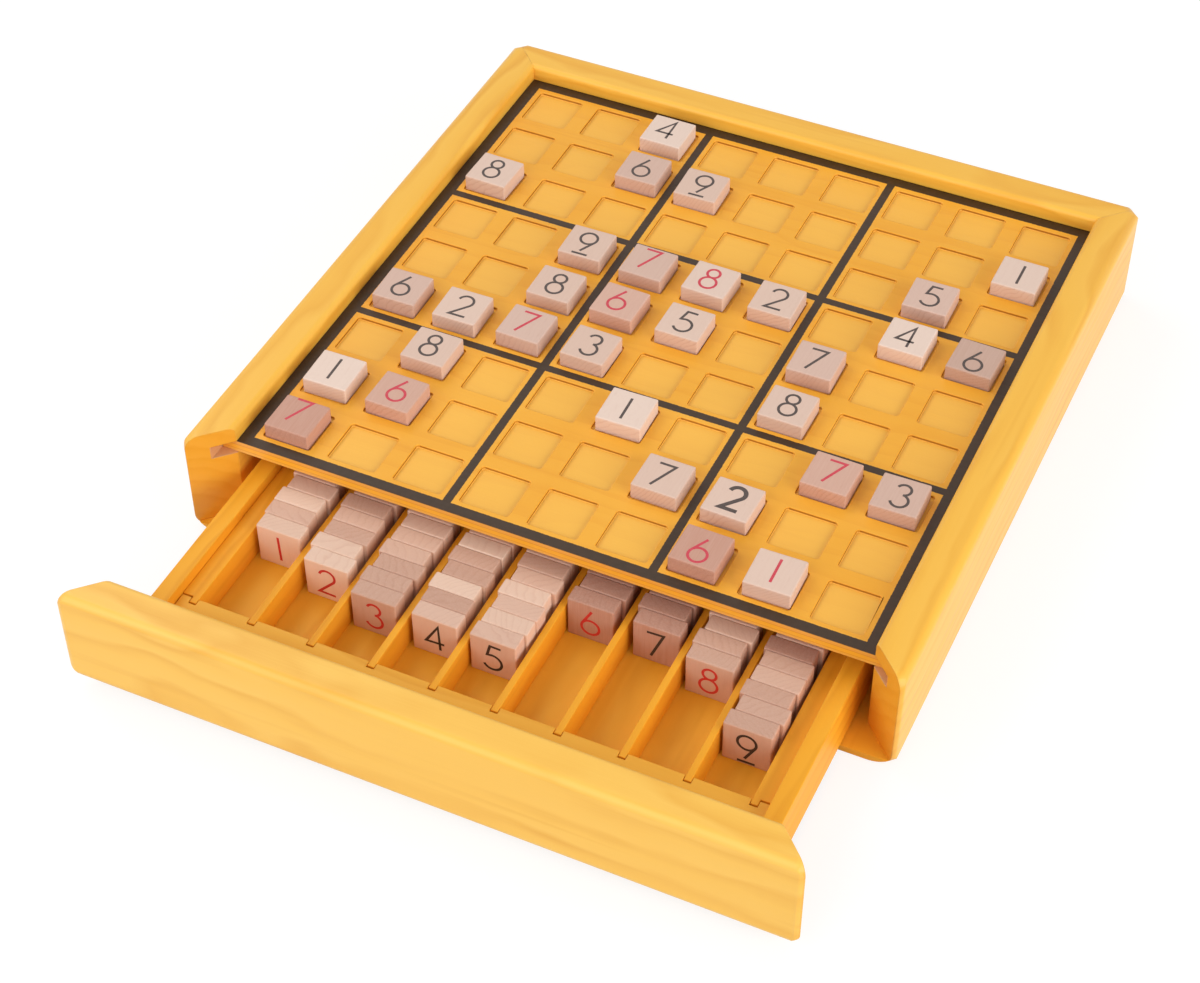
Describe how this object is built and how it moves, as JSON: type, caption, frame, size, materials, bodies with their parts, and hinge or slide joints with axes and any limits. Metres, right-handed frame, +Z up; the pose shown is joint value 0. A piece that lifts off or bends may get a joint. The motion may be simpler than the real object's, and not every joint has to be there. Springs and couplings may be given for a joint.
{
  "type": "sudoku board",
  "caption": "Square wooden number-puzzle board in a mitred frame: a panel with shallow pockets holds loose square tiles, and a slotted drawer below stores the spare ones.",
  "frame": {"origin": "middle of the case's underside, on the surface that the board stands on", "axes": "+X to the right, +Y to the back, +Z up; the drawer pulls out towards -Y and is stored partly open"},
  "size_m": [0.2484, 0.3224, 0.04],
  "materials": {
    "frame_pine": "clear satin varnish on yellow pine",
    "board_ply": "clear satin varnish with a printed dark grid",
    "drawer_pine": "clear satin varnish on yellow pine",
    "thin_ply": "clear satin varnish on thin plywood",
    "tile_beech": "smooth bare beech with stamped digits"
  },
  "bodies": {
    "case": {"left_rail": "frame_pine", "right_rail": "frame_pine", "back_rail": "frame_pine", "board_panel": "board_ply", "base_panel": "thin_ply", "left_guide": "drawer_pine", "right_guide": "drawer_pine"},
    "drawer": {"drawer_front": "frame_pine", "drawer_bar": "drawer_pine", "drawer_left_side": "drawer_pine", "drawer_right_side": "drawer_pine", "drawer_cross_wall": "drawer_pine", "drawer_back": "drawer_pine", "drawer_floor": "thin_ply", "drawer_dividers": "drawer_pine"},
    "tile_stack_1": {"tile_stack_1": "tile_beech"},
    "tile_stack_2": {"tile_stack_2": "tile_beech"},
    "tile_stack_3": {"tile_stack_3": "tile_beech"},
    "tile_stack_4": {"tile_stack_4": "tile_beech"},
    "tile_stack_5": {"tile_stack_5": "tile_beech"},
    "tile_stack_6": {"tile_stack_6": "tile_beech"},
    "tile_stack_7": {"tile_stack_7": "tile_beech"},
    "tile_stack_8": {"tile_stack_8": "tile_beech"},
    "tile_stack_9": {"tile_stack_9": "tile_beech"},
    "tile_r1c3": {"tile_r1c3": "tile_beech"},
    "tile_r2c3": {"tile_r2c3": "tile_beech"},
    "tile_r2c4": {"tile_r2c4": "tile_beech"},
    "tile_r2c9": {"tile_r2c9": "tile_beech"},
    "tile_r3c1": {"tile_r3c1": "tile_beech"},
    "tile_r3c8": {"tile_r3c8": "tile_beech"},
    "tile_r4c3": {"tile_r4c3": "tile_beech"},
    "tile_r4c4": {"tile_r4c4": "tile_beech"},
    "tile_r4c5": {"tile_r4c5": "tile_beech"},
    "tile_r4c6": {"tile_r4c6": "tile_beech"},
    "tile_r4c8": {"tile_r4c8": "tile_beech"},
    "tile_r4c9": {"tile_r4c9": "tile_beech"},
    "tile_r5c3": {"tile_r5c3": "tile_beech"},
    "tile_r5c4": {"tile_r5c4": "tile_beech"},
    "tile_r5c5": {"tile_r5c5": "tile_beech"},
    "tile_r5c7": {"tile_r5c7": "tile_beech"},
    "tile_r6c1": {"tile_r6c1": "tile_beech"},
    "tile_r6c2": {"tile_r6c2": "tile_beech"},
    "tile_r6c3": {"tile_r6c3": "tile_beech"},
    "tile_r6c4": {"tile_r6c4": "tile_beech"},
    "tile_r6c7": {"tile_r6c7": "tile_beech"},
    "tile_r7c2": {"tile_r7c2": "tile_beech"},
    "tile_r7c5": {"tile_r7c5": "tile_beech"},
    "tile_r7c8": {"tile_r7c8": "tile_beech"},
    "tile_r7c9": {"tile_r7c9": "tile_beech"},
    "tile_r8c1": {"tile_r8c1": "tile_beech"},
    "tile_r8c2": {"tile_r8c2": "tile_beech"},
    "tile_r8c6": {"tile_r8c6": "tile_beech"},
    "tile_r8c7": {"tile_r8c7": "tile_beech"},
    "tile_r9c1": {"tile_r9c1": "tile_beech"},
    "tile_r9c7": {"tile_r9c7": "tile_beech"},
    "tile_r9c8": {"tile_r9c8": "tile_beech"}
  },
  "joints": [
    {"name": "drawer_slide", "type": "slide", "parent": "case", "child": "drawer", "axis": [0, -1, 0], "range_m": [-0.074, 0.075]},
    {"name": "stack_1_slide", "type": "slide", "parent": "drawer", "child": "tile_stack_1", "axis": [0, -1, 0], "range_m": [0, 0.0324]},
    {"name": "stack_2_slide", "type": "slide", "parent": "drawer", "child": "tile_stack_2", "axis": [0, -1, 0], "range_m": [0, 0.0259]},
    {"name": "stack_3_slide", "type": "slide", "parent": "drawer", "child": "tile_stack_3", "axis": [0, -1, 0], "range_m": [0, 0.0194]},
    {"name": "stack_4_slide", "type": "slide", "parent": "drawer", "child": "tile_stack_4", "axis": [0, -1, 0], "range_m": [0, 0.0194]},
    {"name": "stack_5_slide", "type": "slide", "parent": "drawer", "child": "tile_stack_5", "axis": [0, -1, 0], "range_m": [0, 0.0194]},
    {"name": "stack_6_slide", "type": "slide", "parent": "drawer", "child": "tile_stack_6", "axis": [0, -1, 0], "range_m": [0, 0.0454]},
    {"name": "stack_7_slide", "type": "slide", "parent": "drawer", "child": "tile_stack_7", "axis": [0, -1, 0], "range_m": [0, 0.0454]},
    {"name": "stack_8_slide", "type": "slide", "parent": "drawer", "child": "tile_stack_8", "axis": [0, -1, 0], "range_m": [0, 0.0389]},
    {"name": "stack_9_slide", "type": "slide", "parent": "drawer", "child": "tile_stack_9", "axis": [0, -1, 0], "range_m": [0, 0.0194]},
    {"name": "tile_r1c3_lift", "type": "slide", "parent": "case", "child": "tile_r1c3", "axis": [0, 0, 1], "range_m": [0, 0.03]},
    {"name": "tile_r2c3_lift", "type": "slide", "parent": "case", "child": "tile_r2c3", "axis": [0, 0, 1], "range_m": [0, 0.03]},
    {"name": "tile_r2c4_lift", "type": "slide", "parent": "case", "child": "tile_r2c4", "axis": [0, 0, 1], "range_m": [0, 0.03]},
    {"name": "tile_r2c9_lift", "type": "slide", "parent": "case", "child": "tile_r2c9", "axis": [0, 0, 1], "range_m": [0, 0.03]},
    {"name": "tile_r3c1_lift", "type": "slide", "parent": "case", "child": "tile_r3c1", "axis": [0, 0, 1], "range_m": [0, 0.03]},
    {"name": "tile_r3c8_lift", "type": "slide", "parent": "case", "child": "tile_r3c8", "axis": [0, 0, 1], "range_m": [0, 0.03]},
    {"name": "tile_r4c3_lift", "type": "slide", "parent": "case", "child": "tile_r4c3", "axis": [0, 0, 1], "range_m": [0, 0.03]},
    {"name": "tile_r4c4_lift", "type": "slide", "parent": "case", "child": "tile_r4c4", "axis": [0, 0, 1], "range_m": [0, 0.03]},
    {"name": "tile_r4c5_lift", "type": "slide", "parent": "case", "child": "tile_r4c5", "axis": [0, 0, 1], "range_m": [0, 0.03]},
    {"name": "tile_r4c6_lift", "type": "slide", "parent": "case", "child": "tile_r4c6", "axis": [0, 0, 1], "range_m": [0, 0.03]},
    {"name": "tile_r4c8_lift", "type": "slide", "parent": "case", "child": "tile_r4c8", "axis": [0, 0, 1], "range_m": [0, 0.03]},
    {"name": "tile_r4c9_lift", "type": "slide", "parent": "case", "child": "tile_r4c9", "axis": [0, 0, 1], "range_m": [0, 0.03]},
    {"name": "tile_r5c3_lift", "type": "slide", "parent": "case", "child": "tile_r5c3", "axis": [0, 0, 1], "range_m": [0, 0.03]},
    {"name": "tile_r5c4_lift", "type": "slide", "parent": "case", "child": "tile_r5c4", "axis": [0, 0, 1], "range_m": [0, 0.03]},
    {"name": "tile_r5c5_lift", "type": "slide", "parent": "case", "child": "tile_r5c5", "axis": [0, 0, 1], "range_m": [0, 0.03]},
    {"name": "tile_r5c7_lift", "type": "slide", "parent": "case", "child": "tile_r5c7", "axis": [0, 0, 1], "range_m": [0, 0.03]},
    {"name": "tile_r6c1_lift", "type": "slide", "parent": "case", "child": "tile_r6c1", "axis": [0, 0, 1], "range_m": [0, 0.03]},
    {"name": "tile_r6c2_lift", "type": "slide", "parent": "case", "child": "tile_r6c2", "axis": [0, 0, 1], "range_m": [0, 0.03]},
    {"name": "tile_r6c3_lift", "type": "slide", "parent": "case", "child": "tile_r6c3", "axis": [0, 0, 1], "range_m": [0, 0.03]},
    {"name": "tile_r6c4_lift", "type": "slide", "parent": "case", "child": "tile_r6c4", "axis": [0, 0, 1], "range_m": [0, 0.03]},
    {"name": "tile_r6c7_lift", "type": "slide", "parent": "case", "child": "tile_r6c7", "axis": [0, 0, 1], "range_m": [0, 0.03]},
    {"name": "tile_r7c2_lift", "type": "slide", "parent": "case", "child": "tile_r7c2", "axis": [0, 0, 1], "range_m": [0, 0.03]},
    {"name": "tile_r7c5_lift", "type": "slide", "parent": "case", "child": "tile_r7c5", "axis": [0, 0, 1], "range_m": [0, 0.03]},
    {"name": "tile_r7c8_lift", "type": "slide", "parent": "case", "child": "tile_r7c8", "axis": [0, 0, 1], "range_m": [0, 0.03]},
    {"name": "tile_r7c9_lift", "type": "slide", "parent": "case", "child": "tile_r7c9", "axis": [0, 0, 1], "range_m": [0, 0.03]},
    {"name": "tile_r8c1_lift", "type": "slide", "parent": "case", "child": "tile_r8c1", "axis": [0, 0, 1], "range_m": [0, 0.03]},
    {"name": "tile_r8c2_lift", "type": "slide", "parent": "case", "child": "tile_r8c2", "axis": [0, 0, 1], "range_m": [0, 0.03]},
    {"name": "tile_r8c6_lift", "type": "slide", "parent": "case", "child": "tile_r8c6", "axis": [0, 0, 1], "range_m": [0, 0.03]},
    {"name": "tile_r8c7_lift", "type": "slide", "parent": "case", "child": "tile_r8c7", "axis": [0, 0, 1], "range_m": [0, 0.03]},
    {"name": "tile_r9c1_lift", "type": "slide", "parent": "case", "child": "tile_r9c1", "axis": [0, 0, 1], "range_m": [0, 0.03]},
    {"name": "tile_r9c7_lift", "type": "slide", "parent": "case", "child": "tile_r9c7", "axis": [0, 0, 1], "range_m": [0, 0.03]},
    {"name": "tile_r9c8_lift", "type": "slide", "parent": "case", "child": "tile_r9c8", "axis": [0, 0, 1], "range_m": [0, 0.03]}
  ]
}
